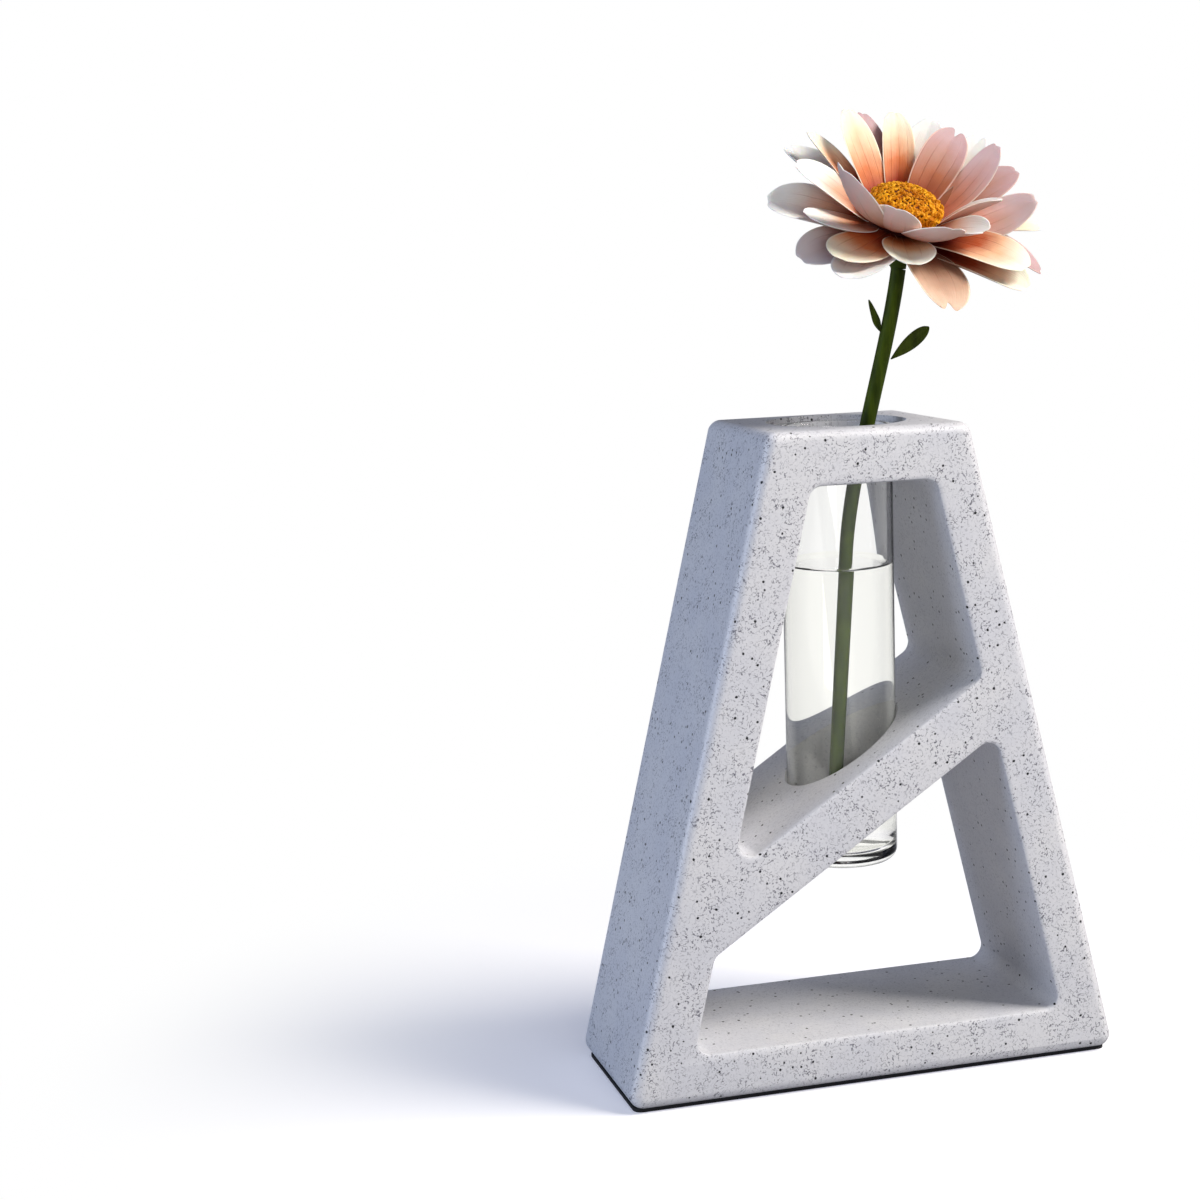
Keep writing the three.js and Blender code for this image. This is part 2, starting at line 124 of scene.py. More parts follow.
class Finish:
    """A finish, or the light of the room, made of shader nodes."""

    def __init__(self, name, tree=None):
        if tree is None:
            self.material = bpy.data.materials.new(name)
            self.material.use_nodes = True
            tree = self.material.node_tree
        self.tree = tree
        self.tree.nodes.clear()

    def add(self, kind, settings=(), sockets=(), output=0):
        """A node, given its settings and then the values or links of its sockets."""
        node = self.tree.nodes.new(kind)
        for name, value in dict(settings).items():
            if name == "stops":
                while len(node.color_ramp.elements) < len(value):
                    node.color_ramp.elements.new(1)
                for element, (place, colour) in zip(node.color_ramp.elements, value):
                    element.position = place
                    element.color = colour
            else:
                setattr(node, name, value)
        for name, value in dict(sockets).items():
            if isinstance(value, Signal):
                self.tree.links.new(value.socket, node.inputs[name])
            else:
                node.inputs[name].default_value = value
        return Signal(self, node.outputs[output])

    def mix(self, share, first, second):
        """A colour that lies between two colours."""
        return self.add("ShaderNodeMix", {"data_type": "RGBA"}, {0: share, 6: first, 7: second}, 2)

    def place(self):
        """The place of each point of the piece, in metres."""
        return self.add("ShaderNodeTexCoord", output="Object")

    def noise(self, place, scale, detail=2):
        return self.add("ShaderNodeTexNoise", {}, {"Vector": place, "Scale": scale, "Detail": detail})

    def bump(self, height, depth):
        """A relief of a depth in metres."""
        return self.add("ShaderNodeBump", {}, {"Height": height, "Distance": depth})

    def surface(self, **sockets):
        """The shader that most pieces end in, with its sockets' names in lower case."""
        named = {}
        for name, value in sockets.items():
            named[name.replace("_", " ").title().replace("Ior", "IOR")] = value
        return self.add("ShaderNodeBsdfPrincipled", {}, named)

    def output(self, shader):
        """The material, ended in its shader."""
        self.add_end("ShaderNodeOutputMaterial", shader)
        return self.material

    def add_end(self, kind, shader):
        node = self.tree.nodes.new(kind)
        self.tree.links.new(shader.socket, node.inputs["Surface"])


def card(red, green, blue):
    """A colour as a paint card names it, from 0 to 255, as the shaders want it."""

    def straight(value):
        value /= 255
        return value / 12.92 if value <= 0.04045 else ((value + 0.055) / 1.055) ** 2.4

    return (straight(red), straight(green), straight(blue), 1)


def seen_share(finish):
    """1 for what the camera sees straight or through glass, and less in a gloss."""
    share = finish.add("ShaderNodeLightPath", output="Is Camera Ray")
    share = share + finish.add("ShaderNodeLightPath", output="Is Transmission Ray")
    share = share + finish.add("ShaderNodeLightPath", output="Is Glossy Ray") * SEEN_IN_GLOSS
    return share.maths("MINIMUM", share, 1)


bpy.ops.mesh.primitive_plane_add(size=FLOOR_SIZE)
floor = bpy.context.object
floor.name = "paper_floor"
paper = Finish("white_paper")
paper_place = paper.place()
from_vase = paper.add("ShaderNodeVectorMath", {"operation": "LENGTH"}, {0: paper_place}, "Value")
far_share = from_vase.between(PAPER_NEAR_RADIUS, PAPER_FAR_RADIUS)
seen = seen_share(paper)
paper_near = paper.surface(
    base_color=paper.mix(seen, card(138, 140, 148), card(234, 232, 227)),
    roughness=0.9,
    emission_color=paper.mix(seen, card(0, 0, 0), card(137, 141, 158)),
    emission_strength=1.0,
)
paper_far = paper.add("ShaderNodeEmission", {}, {"Color": card(255, 255, 255), "Strength": 1})
paper_mixed = paper.add("ShaderNodeMixShader", {}, {0: seen * far_share, 1: paper_near, 2: paper_far})
floor.data.materials.append(paper.output(paper_mixed))


# The room is a white studio. Its own light is weak and a little blue, and the
# camera, the gloss and the glass see it as plain white.
ROOM_LIGHT = 0.045

world = bpy.data.worlds.new("studio")
bpy.context.scene.world = world
world.use_nodes = True
room = Finish("studio", world.node_tree)
room_light = room.add("ShaderNodeBackground", {}, {"Color": card(226, 236, 255), "Strength": ROOM_LIGHT})
room_seen = room.add("ShaderNodeBackground", {}, {"Color": (1, 1, 1, 1), "Strength": 1})
room_mixed = room.add("ShaderNodeMixShader", {}, {0: seen_share(room), 1: room_light, 2: room_seen})
room.add_end("ShaderNodeOutputWorld", room_mixed)


# Four soft boxes light the vase: a warm one high on the right, a weak one in
# front, a blue one on the left for the leaning side, and a faint one overhead.
LIT_POINT = Vector((0, 0, 0.1))


def soft_box(name, towards, distance, size, level, colour, in_gloss=True):
    """A lamp that lights what faces it at a level, where 1 is full white."""
    direction = Vector(towards).normalized()
    place = LIT_POINT + direction * distance
    bpy.ops.object.light_add(type="AREA", location=place)
    lamp = bpy.context.object
    lamp.name = name
    lamp.data.size = size
    lamp.data.energy = level * (math.pi * distance) ** 2
    lamp.data.color = colour[:3]
    lamp.rotation_euler = direction.to_track_quat("Z", "Y").to_euler()
    lamp.visible_camera = False
    lamp.visible_glossy = in_gloss


soft_box(
    "soft_box_right",
    towards=(0.64, -0.34, 0.7),
    distance=1.2,
    size=0.5,
    level=1.3,
    colour=card(255, 250, 244),
)
soft_box(
    "soft_box_front",
    towards=(-0.1, -0.98, 0.14),
    distance=0.6,
    size=0.3,
    level=0.39,
    colour=card(255, 253, 252),
    in_gloss=False,
)
soft_box(
    "soft_box_left",
    towards=(-1, -0.05, 0.1),
    distance=1.2,
    size=0.5,
    level=0.45,
    colour=card(208, 225, 255),
)
soft_box(
    "soft_box_top",
    towards=(-0.3, 0.25, 0.92),
    distance=1.0,
    size=0.4,
    level=0.15,
    colour=card(212, 222, 255),
)


# The block is one casting of pale stone powder and resin, with dark specks and
# short curved fibres in it, sanded to a satin finish. The tube hangs in it.
def copy_of(name, piece):
    """A copy of a piece, with a mesh of its own."""
    copy = bpy.data.objects.new(name, piece.data.copy())
    bpy.context.scene.collection.objects.link(copy)
    return copy


def pick(piece):
    """Selects one piece and nothing else, for the tools that follow."""
    bpy.ops.object.select_all(action="DESELECT")
    bpy.context.view_layer.objects.active = piece
    piece.select_set(True)


def bare_copy(name, node):
    """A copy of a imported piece, with its loose triangles joined."""
    copy = copy_of(name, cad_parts[node])
    pick(copy)
    copy.data.materials.clear()
    bpy.ops.object.mode_set(mode="EDIT")
    bpy.ops.mesh.select_all(action="SELECT")
    bpy.ops.mesh.remove_doubles(threshold=1e-6)
    bpy.ops.mesh.customdata_custom_splitnormals_clear()
    bpy.ops.object.mode_set(mode="OBJECT")
    return copy


def finish_piece(piece, body, material=None, smooth=35):
    """Gives a finished mesh its shading, its body and, if it has none yet, its finish."""
    pick(piece)
    bpy.ops.object.shade_smooth_by_angle(angle=math.radians(smooth))
    if material:
        piece.data.materials.clear()
        piece.data.materials.append(material)
    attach(piece, body)


def apply_modifier(piece, kind, **settings):
    """Adds one modifier to a piece and applies it."""
    pick(piece)
    modifier = piece.modifiers.new(kind.lower(), kind)
    for name, value in settings.items():
        setattr(modifier, name, value)
    bpy.ops.object.modifier_apply(modifier=modifier.name)


BORE_RADIUS = 0.0131
BORE_LOWEST = 0.03
SEAT_RADIUS = 0.0154
TOP_BAR_UNDERSIDE = 0.118
FOOT_HALF_WIDTH = 0.0597
SIDE_LEAN = 0.2397
MARKS_IN_WINDOWS = 0.45
MARKS_ON_SIDES = 0.8

stone = Finish("cast_stone")
stone_place = stone.place()
cloud = stone.noise(stone_place, 70, 3)
patch = stone.noise(stone_place, 190, 2)
grain = stone.noise(stone_place, 1700, 2)
wander = stone.add("ShaderNodeTexNoise", {}, {"Vector": stone_place, "Scale": 900}, "Color")


def specks(cell, radius, share, stretch=(1, 1, 1)):
    """Dark specks, one in each of some cells of the casting, as rods if stretched."""
    laid = stone.add("ShaderNodeMapping", {}, {"Vector": stone_place, "Scale": stretch})
    bent = stone.add("ShaderNodeVectorMath", {"operation": "SCALE"}, {0: wander, "Scale": radius})
    laid = stone.add("ShaderNodeVectorMath", {"operation": "ADD"}, {0: laid, 1: bent})
    sockets = {"Vector": laid, "Scale": 1 / cell}
    distance = stone.add("ShaderNodeTexVoronoi", {}, sockets, "Distance")
    chance = stone.add("ShaderNodeTexVoronoi", {}, sockets, "Color")
    chosen = stone.add("ShaderNodeSeparateColor", {}, {"Color": chance}) < share
    return (1 - distance.between(0.75 * radius / cell, 1.1 * radius / cell)) * chosen


def fibres(scale, width, shift, share):
    """Short curved fibres: thin lines through a noise, broken up by another."""
    moved = stone.add("ShaderNodeVectorMath", {"operation": "ADD"}, {0: stone_place, 1: shift})
    line = abs(stone.noise(moved, scale, 1) - 0.5)
    kept = stone.noise(moved, scale * 1.9, 1).between(share, share + 0.05)
    return (1 - line.between(width * 0.4, width)) * kept


black_specks = specks(cell=0.0024, radius=0.00034, share=0.7)
grey_specks = specks(cell=0.0012, radius=0.0002, share=0.75)
short_rods = specks(cell=0.0011, radius=0.00015, share=0.7, stretch=(1, 1, 0.3))
curls = fibres(scale=620, width=0.03, shift=(0, 0, 0), share=0.5)
fine_curls = fibres(scale=900, width=0.04, shift=(0.7, 0.3, 0.1), share=0.5)
from_axis = stone.add("ShaderNodeVectorMath", {"operation": "MULTIPLY"}, {0: stone_place, 1: (1, 1, 0)})
from_axis = stone.add("ShaderNodeVectorMath", {"operation": "LENGTH"}, {0: from_axis}, "Value")
height = stone.add("ShaderNodeSeparateXYZ", {}, {"Vector": stone_place}, "Z")
over_base_bar = height.between(BORE_LOWEST, BORE_LOWEST + 0.001)
in_top_bar = height.between(TOP_BAR_UNDERSIDE, TOP_BAR_UNDERSIDE + 0.001)
bore = (1 - from_axis.between(BORE_RADIUS, BORE_RADIUS + 0.0002)) * over_base_bar
# seat marks the recess round the tube's lip, where painted shade is laid below.
seat = (1 - from_axis.between(SEAT_RADIUS, SEAT_RADIUS + 0.0004)) * in_top_bar

# The faces in the windows show fewer marks than the outer ones, and the bore none.
facing = stone.add("ShaderNodeNewGeometry", output="Normal")
front_back = abs(stone.add("ShaderNodeSeparateXYZ", {}, {"Vector": facing}, "Y"))
sideways = abs(stone.add("ShaderNodeSeparateXYZ", {}, {"Vector": stone_place}, "X"))
outer_side = (sideways + SIDE_LEAN * height - FOOT_HALF_WIDTH).between(-0.0015, -0.0005)
open_faces = front_back + MARKS_ON_SIDES * outer_side * (1 - front_back)
marks = (MARKS_IN_WINDOWS + (1 - MARKS_IN_WINDOWS) * open_faces) * (1 - bore)
crowd = patch.between(0.4, 0.6) * marks
stone_colour = stone.mix(cloud.between(0.3, 0.7), card(214, 215, 221), card(222, 222, 225))
stone_colour = stone.mix(grain.between(0.35, 0.75) * 0.35, stone_colour, card(196, 197, 204))
stone_colour = stone.mix(short_rods * marks * (0.2 + 0.5 * crowd), stone_colour, card(118, 118, 128))
stone_colour = stone.mix(curls * marks * (0.3 + 0.6 * crowd), stone_colour, card(88, 88, 100))
stone_colour = stone.mix(fine_curls * marks * (0.25 + 0.55 * crowd), stone_colour, card(100, 100, 112))
stone_colour = stone.mix(grey_specks * marks * (0.35 + 0.5 * crowd), stone_colour, card(80, 80, 90))
stone_colour = stone.mix(black_specks * (1 - bore), stone_colour, card(16, 17, 22))
# The seat round the tube's lip is painted dark grey: painted shade inside the hole at the top.
stone_colour = stone.mix(seat * 0.85, stone_colour, card(70, 72, 84))
stone_relief = grain * 0.4 + cloud - black_specks - 0.5 * grey_specks
stone_shader = stone.surface(
    base_color=stone_colour,
    roughness=0.36 + 0.12 * grain,
    specular_ior_level=0.5,
    normal=stone.bump(stone_relief, 0.00005),
)
stone_material = stone.output(stone_shader)

block = bare_copy("cast_block", "cast_frame")
finish_piece(block, "block", stone_material, smooth=40)
apply_modifier(block, "WEIGHTED_NORMAL", keep_sharp=True, weight=80)
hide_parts("cast_frame")


# A thin black sheet lies under the block, a little smaller than the block's underside.
# Its black edge is painted shade: it draws the dark contact line along the block's foot.
black_sheet = Finish("black_contact_sheet")
black_sheet_grain = black_sheet.noise(black_sheet.place(), 1400, 3)
black_sheet_shader = black_sheet.surface(
    base_color=black_sheet.mix(black_sheet_grain, card(14, 14, 17), card(34, 34, 38)),
    roughness=0.75 + 0.2 * black_sheet_grain,
    normal=black_sheet.bump(black_sheet_grain, 0.0001),
)
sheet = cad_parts["base_sheet"]
sheet.data.materials.clear()
sheet.data.materials.append(black_sheet.output(black_sheet_shader))


# The test tube is clear glass, drawn from tubing and finished in the flame. It
# has a thick flat base, rounded at its edge, and hangs in the block by its lip.
TUBE_OUTER = 0.0127
TUBE_INNER = 0.0115
TUBE_BOTTOM = 0.048
TUBE_TOP = 0.149
TUBE_FLOOR = 0.051
TUBE_CORNER = 0.0026
CORNER_STEPS = 7
LIP_RADIUS = 0.0151
LIP_ROUND = 0.0008
LIP_HEIGHT = 0.0024
LIP_STEPS = 4
FIRST_RING = 0.004
FACETS_ROUND = 96


def arc(centre, radius, start, end, steps):
    """Points of a quarter round, each as its distance from the axis and its height."""
    points = []
    for i in range(steps + 1):
        angle = math.radians(start + (end - start) * i / steps)
        points.append((centre[0] + radius * math.cos(angle), centre[1] + radius * math.sin(angle)))
    return points


def turned_piece(name, section):
    """A piece turned on the tube's axis, drawn up ring by ring from a disc."""
    bpy.ops.object.select_all(action="DESELECT")
    start_radius, height = section[0]
    bpy.ops.mesh.primitive_circle_add(
        vertices=FACETS_ROUND, radius=start_radius, fill_type="NGON", location=(0, 0, height)
    )
    piece = bpy.context.object
    piece.name = name
    bpy.ops.object.transform_apply(location=True)
    bpy.ops.object.mode_set(mode="EDIT")
    bpy.ops.mesh.select_mode(type="EDGE")
    bpy.ops.mesh.select_all(action="SELECT")
    bpy.ops.mesh.region_to_loop()
    radius = start_radius
    for next_radius, next_height in section[1:]:
        bpy.ops.mesh.extrude_edges_move(
            TRANSFORM_OT_translate={"value": (0, 0, next_height - height)}
        )
        share = next_radius / radius
        bpy.ops.transform.resize(value=(share, share, 1), center_override=(0, 0, next_height))
        radius, height = next_radius, next_height
    bpy.ops.mesh.edge_face_add()
    bpy.ops.mesh.select_all(action="SELECT")
    bpy.ops.mesh.normals_make_consistent(inside=False)
    bpy.ops.object.mode_set(mode="OBJECT")
    return piece


def clear_finish(name, colour, refraction, shadow):
    """A clear finish, whose shadow is as light as a real one's, painted grey where it is seen edge-on."""
    clear = Finish(name)
    ripple = clear.noise(clear.place(), 40, 1)
    # Painted shade: a dark grey laid on the clear finish where it is seen edge-on.
    rim = clear.add("ShaderNodeLayerWeight", {}, {"Blend": 0.5}, "Facing").between(0.76, 1)
    body = clear.surface(
        base_color=clear.mix(rim, colour, card(92, 98, 106)),
        roughness=0.0,
        transmission_weight=1.0,
        specular_ior_level=0.25,
        ior=refraction,
        normal=clear.bump(ripple, 0.00004),
    )
    through = clear.add("ShaderNodeBsdfTransparent", {}, {"Color": colour})
    shaded = clear.add("ShaderNodeLightPath", output="Is Shadow Ray") * shadow
    return clear.output(clear.add("ShaderNodeMixShader", {}, {0: shaded, 1: body, 2: through}))


lip_under = TUBE_TOP - LIP_HEIGHT
outer_corner = (TUBE_OUTER - TUBE_CORNER, TUBE_BOTTOM + TUBE_CORNER)
inner_corner = (TUBE_INNER - TUBE_CORNER, TUBE_FLOOR + TUBE_CORNER)
tube_section = [(FIRST_RING, TUBE_BOTTOM)]
tube_section += arc(outer_corner, TUBE_CORNER, -90, 0, CORNER_STEPS)
tube_section += [(TUBE_OUTER, lip_under)]
tube_section += arc((LIP_RADIUS - LIP_ROUND, lip_under + LIP_ROUND), LIP_ROUND, -90, 0, LIP_STEPS)
tube_section += arc((LIP_RADIUS - LIP_ROUND, TUBE_TOP - LIP_ROUND), LIP_ROUND, 0, 90, LIP_STEPS)
tube_section += arc((TUBE_INNER + LIP_ROUND, TUBE_TOP - LIP_ROUND), LIP_ROUND, 90, 180, LIP_STEPS)
tube_section += arc(inner_corner, TUBE_CORNER, 0, -90, CORNER_STEPS)
tube_section += [(FIRST_RING, TUBE_FLOOR)]
tube = turned_piece("test_tube", tube_section)
glass_finish = clear_finish("clear_glass", card(255, 255, 254), refraction=1.47, shadow=0.75)
finish_piece(tube, "tube", glass_finish)
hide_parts("glass_tube")


# Water fills two thirds of the tube. It wets the glass, so its surface climbs
# a little at the wall.
WATER_INTO_GLASS = 0.00002
WATER_RADIUS = TUBE_INNER + WATER_INTO_GLASS
WATER_FLOOR = TUBE_FLOOR - WATER_INTO_GLASS
WATER_LEVEL = 0.1168
MENISCUS_RISE = 0.0009
MENISCUS_REACH = 0.0017
MENISCUS_STEPS = 7

water_corner = (WATER_RADIUS - TUBE_CORNER, WATER_FLOOR + TUBE_CORNER)
water_section = [(FIRST_RING, WATER_FLOOR)]
water_section += arc(water_corner, TUBE_CORNER, -90, 0, CORNER_STEPS)
water_section += [(WATER_RADIUS, WATER_LEVEL + MENISCUS_RISE)]
for i in range(1, MENISCUS_STEPS + 1):
    share = i / MENISCUS_STEPS
    climb = MENISCUS_RISE * (1 - share) ** 2.2
    water_section.append((WATER_RADIUS - MENISCUS_REACH * share, WATER_LEVEL + climb))
water = turned_piece("water_in_tube", water_section)
water_finish = clear_finish("water", card(255, 255, 252), refraction=1.14, shadow=0.9)
finish_piece(water, "water", water_finish)
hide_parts("water")


# The stem is a green stalk, a little thinner at its cut foot. It stands on a
# slant in the water, clears the glass at the rim and bends up to the head.
STEM_RADIUS = 0.0017
STEM_FOOT_RADIUS = 0.0014
STEM_FOOT = Vector((-0.0017, 0, 0.060))
STEM_AT_RIM = Vector((0.0077, 0, 0.149))
STEM_TOP = Vector((0.0157, 0, 0.1834))
STEM_BEND = Vector((0.001977, 0, 0.1185))
STEM_LEAN_IN_WATER = 3.6
STEM_LEAN_AT_RIM = 14
STEM_LEAN_AT_TOP = 9


def leaning(degrees):
    """The direction of a stalk that leans to the right."""
    return Vector((math.sin(math.radians(degrees)), 0, math.cos(math.radians(degrees))))


def bend_points(start, start_axis, end, end_axis, steps):
    """Points of a smooth bend between two points with given directions."""
    handle = (end - start).length / 3
    one = start + start_axis * handle
    two = end - end_axis * handle
    points = []
    for i in range(1, steps + 1):
        t = i / steps
        s = 1 - t
        points.append(start * s**3 + one * 3 * s * s * t + two * 3 * s * t * t + end * t**3)
    return points


def stalk(name, points, radii, sides=16):
    """A round stalk of changing thickness along a path."""
    bpy.ops.object.select_all(action="DESELECT")
    bpy.ops.curve.primitive_nurbs_path_add()
    path = bpy.context.object
    path.name = name
    path.data.splines.clear()
    spline = path.data.splines.new("POLY")
    spline.points.add(len(points) - 1)
    for point, place, radius in zip(spline.points, points, radii):
        point.co = (*place, 1)
        point.radius = radius
    path.data.bevel_depth = 1
    path.data.bevel_resolution = sides // 2 - 2
    path.data.use_fill_caps = True
    bpy.ops.object.convert(target="MESH")
    piece = bpy.context.object
    bpy.ops.object.mode_set(mode="EDIT")
    bpy.ops.mesh.select_all(action="SELECT")
    bpy.ops.mesh.remove_doubles(threshold=1e-7)
    bpy.ops.mesh.normals_make_consistent(inside=False)
    bpy.ops.object.mode_set(mode="OBJECT")
    return piece


def green_finish(name, dark, light, streaks):
    """The finish of a fresh green plant, with fine streaks along it."""
    green = Finish(name)
    place = green.place()
    long_place = green.add("ShaderNodeMapping", {}, {"Vector": place, "Scale": (1, 1, 0.08)})
    streak = green.noise(long_place, streaks, 3)
    mottle = green.noise(place, 260, 3)
    colour = green.mix(streak.between(0.3, 0.7), dark, light)
    colour = green.mix(mottle.between(0.45, 0.8) * 0.25, colour, card(92, 104, 34))
    shader = green.surface(
        base_color=colour,
        roughness=0.5 + 0.2 * mottle,
        specular_ior_level=0.15,
        normal=green.bump(streak + 0.3 * mottle, 0.00012),
    )
    return green.output(shader)


foot_axis = leaning(STEM_LEAN_IN_WATER)
rim_axis = leaning(STEM_LEAN_AT_RIM)
top_axis = leaning(STEM_LEAN_AT_TOP)
stem_points = [STEM_FOOT + (STEM_BEND - STEM_FOOT) * i / 10 for i in range(11)]
stem_points += bend_points(STEM_BEND, foot_axis, STEM_AT_RIM, rim_axis, steps=12)
stem_points += bend_points(STEM_AT_RIM, rim_axis, STEM_TOP, top_axis, steps=14)
stem_radii = [
    STEM_FOOT_RADIUS + (STEM_RADIUS - STEM_FOOT_RADIUS) * min(1, 2 * i / len(stem_points))
    for i in range(len(stem_points))
]
stem = stalk("stem", stem_points, stem_radii)
stem_green = green_finish("stem_green", card(36, 50, 2), card(64, 80, 10), streaks=700)
finish_piece(stem, "flower", stem_green)
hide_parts("flower_stem")


# Two small leaves stand on the stem over the rim: a thin pointed one on the
# left and a broad blunt one on the right, each folded a little at its vein.
LEAF_THICKNESS = 0.00045
LEAF_ROWS = 14
LEAF_FOLD = 0.07
LEAF_END_WIDTH = 0.06


def select_points(blade, mesh, test):
    """Selects the points of a blade that pass a test, in edit mode."""
    for vertex in mesh.verts:
        vertex.select = test(vertex)
    mesh.select_flush_mode()
    bmesh.update_edit_mesh(blade.data)


def leaf(name, node, root, reach, width, widest, blunt):
    """A leaf: a flat blade shaped row by row, folded and thickened."""
    bpy.ops.object.select_all(action="DESELECT")
    bpy.ops.mesh.primitive_grid_add(
        x_subdivisions=6, y_subdivisions=LEAF_ROWS, size=1, location=(0, 0.5, 0)
    )
    blade = bpy.context.object
    blade.name = name
    bpy.ops.object.transform_apply(location=True)
    length = reach.length
    bpy.ops.object.mode_set(mode="EDIT")
    bpy.ops.mesh.select_mode(type="VERT")
    mesh = bmesh.from_edit_mesh(blade.data)
    for row in range(LEAF_ROWS + 1):
        share = row / LEAF_ROWS
        if share < widest:
            wide = math.sin(math.pi / 2 * share / widest) ** 0.9
        else:
            wide = max(0, 1 - ((share - widest) / (1 - widest)) ** blunt) ** 0.6
        select_points(blade, mesh, lambda point: abs(point.co.y - share) < 0.01)
        wide = max(wide, LEAF_END_WIDTH) * width
        bpy.ops.transform.resize(value=(wide, 1, 1), center_override=(0, share, 0))
    select_points(blade, mesh, lambda point: abs(point.co.x) < 1e-6)
    bpy.ops.transform.translate(value=(0, 0, -LEAF_FOLD * width))
    bpy.ops.mesh.select_all(action="SELECT")
    bpy.ops.transform.resize(value=(1, length, 1), center_override=(0, 0, 0))
    bpy.ops.object.mode_set(mode="OBJECT")
    apply_modifier(blade, "SOLIDIFY", thickness=LEAF_THICKNESS, offset=0)
    apply_modifier(blade, "SUBSURF", levels=1, render_levels=1)
    along = reach.normalized()
    across = Vector((0, 1, 0)).cross(along).normalized()
    facing = across.cross(along)
    turn = Matrix((across, along, facing)).transposed().to_4x4()
    blade.matrix_world = Matrix.Translation(root) @ turn
    bpy.ops.object.transform_apply(location=True, rotation=True, scale=True)
    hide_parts(node)
    return blade


def leaf_places(node, lean_right):
    """The root and the tip of a packed leaf, at opposite corners of its box."""
    low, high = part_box(node)
    if lean_right:
        return Vector((low.x, 0, low.z)), Vector((high.x, 0, high.z))
    return Vector((high.x, 0, low.z)), Vector((low.x, 0, high.z))


leaf_green = green_finish("leaf_green", card(34, 44, 6), card(60, 74, 12), streaks=500)
left_root, left_tip = leaf_places("leaf_left", lean_right=False)
left_leaf = leaf(
    "leaf_pointed", "leaf_left", left_root, left_tip - left_root, width=0.0019, widest=0.36, blunt=1.1
)
finish_piece(left_leaf, "flower", leaf_green)
right_root, right_tip = leaf_places("leaf_right", lean_right=True)
right_leaf = leaf(
    "leaf_blunt", "leaf_right", right_root, right_tip - right_root, width=0.0035, widest=0.62, blunt=2.2
)
finish_piece(right_leaf, "flower", leaf_green)


# The head sits on a green cup that widens from the stem and is near-black rust red at its
# top, partly rust and partly painted shade under the petals. The cup carries the disc of florets there and
# the petals round its side.
HEAD_PLACE = Vector((0.0167, -0.0026, 0.1974))
HEAD_LEAN = math.radians(25)
HEAD_HEADING = math.radians(-62)
CUP_DEPTH = 0.009
CUP_RADIUS = 0.0079
CUP_FOOT_RADIUS = 0.0039
CUP_UNDER_HEAD = 0.0003
CUP_OVER_STEM = 0.00005
RUST_AND_SHADE_ABOVE = -0.0065
CUP_BEND_STEPS = 9
CUP_WALL_STEPS = 6

head_turn = Quaternion((-math.sin(HEAD_HEADING), math.cos(HEAD_HEADING), 0), HEAD_LEAN)
head_axis = head_turn @ Vector((0, 0, 1))
head_matrix = Matrix.Translation(HEAD_PLACE) @ head_turn.to_matrix().to_4x4()
cup_top = HEAD_PLACE - head_axis * CUP_UNDER_HEAD
cup_foot = HEAD_PLACE - head_axis * CUP_DEPTH
cup_start = STEM_TOP + top_axis * CUP_OVER_STEM
cup_points = [cup_start]
cup_points += bend_points(cup_start, top_axis, cup_foot, head_axis, CUP_BEND_STEPS)
cup_radii = [
    STEM_RADIUS + (CUP_FOOT_RADIUS - STEM_RADIUS) * (i / CUP_BEND_STEPS) ** 1.3
    for i in range(CUP_BEND_STEPS + 1)
]
for i in range(1, CUP_WALL_STEPS + 1):
    cup_points.append(cup_foot.lerp(cup_top, i / CUP_WALL_STEPS))
    cup_radii.append(CUP_FOOT_RADIUS + (CUP_RADIUS - CUP_FOOT_RADIUS) * i / CUP_WALL_STEPS)
cup = stalk("green_cup", cup_points, cup_radii, sides=20)

cup_green = Finish("cup_green")
cup_place = cup_green.place()
from_head = cup_green.add("ShaderNodeVectorMath", {"operation": "SUBTRACT"}, {0: cup_place, 1: HEAD_PLACE})
along_head = {0: from_head, 1: head_axis}
up_head = cup_green.add("ShaderNodeVectorMath", {"operation": "DOT_PRODUCT"}, along_head, "Value")
cup_mottle = cup_green.noise(cup_place, 600, 3)
cup_colour = cup_green.mix(cup_mottle, card(36, 50, 2), card(64, 80, 10))
# The cup's top is painted a near-black red: rust red together with painted shade under the petals.
rust_and_shade_share = (up_head + 0.002 * (cup_mottle - 0.5)).between(-CUP_DEPTH, RUST_AND_SHADE_ABOVE)
cup_shader = cup_green.surface(
    base_color=cup_green.mix(rust_and_shade_share, cup_colour, card(60, 12, 4)),
    roughness=0.55 + 0.2 * cup_mottle,
    specular_ior_level=0.15,
    normal=cup_green.bump(cup_mottle, 0.00012),
)
finish_piece(cup, "flower", cup_green.output(cup_shader))
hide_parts("calyx")


# The disc is a dome of some five hundred tiny curled golden florets on a dark
# brown bed. The outermost stand out sideways round its rim.
DISC_RADIUS = 0.0082
DISC_CROWN = 0.0048
DISC_RIM = 0.0012
SKIRT_DEPTH = 0.0034
FLORET_COUNT = 540
SKIRT_SHARE = 0.42
FLORET_SIDES = 5
FLORET_STEPS = 6
FLORET_TUBE = 0.00025
FLORET_CURL = 0.00046
FLORET_BEND = math.radians(250)
FLORET_UNEVEN_OUT = 0.0002
FLORET_UNEVEN_UP = 0.0003
FLORET_SINK = 0.0006
BED_SINK = 0.0007
GOLDEN_ANGLE = math.radians(137.508)


def floret_seat(share):
    """Where a floret stands on the dome or its skirt, and which way it points."""
    if share < 1 - SKIRT_SHARE:
        out = math.sqrt(share / (1 - SKIRT_SHARE))
        rise = DISC_RIM + (DISC_CROWN - FLORET_SINK - DISC_RIM) * (1 - out**2.6)
        return DISC_RADIUS * 0.97 * out, rise, Vector((out**2 * 0.9, 0, 1))
    down = (share - 1 + SKIRT_SHARE) / SKIRT_SHARE
    radius = DISC_RADIUS * (0.98 - 0.07 * down)
    return radius, DISC_RIM - SKIRT_DEPTH * down, Vector((1, 0, 0.7 - 0.5 * down))


